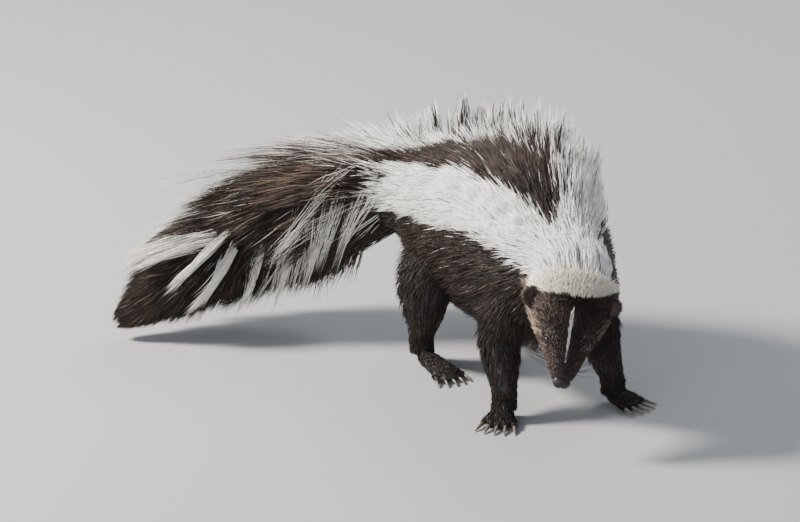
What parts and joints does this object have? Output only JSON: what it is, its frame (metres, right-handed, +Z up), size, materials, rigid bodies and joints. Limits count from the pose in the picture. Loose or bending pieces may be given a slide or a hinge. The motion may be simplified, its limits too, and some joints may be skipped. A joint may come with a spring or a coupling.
{
  "type": "striped skunk",
  "caption": "Life-size still model of a striped skunk walking with its head low and its bushy tail swept out to one side.",
  "frame": {"origin": "on the floor under the middle of the model's bounding box", "axes": "+X towards the animal's left front, away from the tail, which runs out to -X; -Y is the way the head faces; +Z up"},
  "size_m": [0.4352, 0.3294, 0.204],
  "materials": {
    "coat": "soft fur, black-brown with white stripes",
    "nose": "moist, satin",
    "eye": "gloss",
    "claw": "satin horn"
  },
  "bodies": {
    "root": {"head": "coat", "nose": "nose", "eye_left": "eye", "eye_right": "eye", "ear_left": "coat", "ear_right": "coat", "neck": "coat", "torso": "coat", "tail": "coat", "front_right_leg": "coat", "front_right_paw": "coat", "front_right_claw_1": "claw", "front_right_claw_2": "claw", "front_right_claw_3": "claw", "front_right_claw_4": "claw", "front_right_claw_5": "claw", "front_left_leg": "coat", "front_left_paw": "coat", "front_left_claw_1": "claw", "front_left_claw_2": "claw", "front_left_claw_3": "claw", "front_left_claw_4": "claw", "front_left_claw_5": "claw", "hind_right_leg": "coat", "hind_right_paw": "coat", "hind_right_claw_1": "claw", "hind_right_claw_2": "claw", "hind_right_claw_3": "claw", "hind_right_claw_4": "claw", "hind_right_claw_5": "claw", "hind_left_leg": "coat", "hind_left_paw": "coat", "hind_left_claw_1": "claw", "hind_left_claw_2": "claw", "hind_left_claw_3": "claw", "hind_left_claw_4": "claw", "hind_left_claw_5": "claw"}
  },
  "joints": []
}
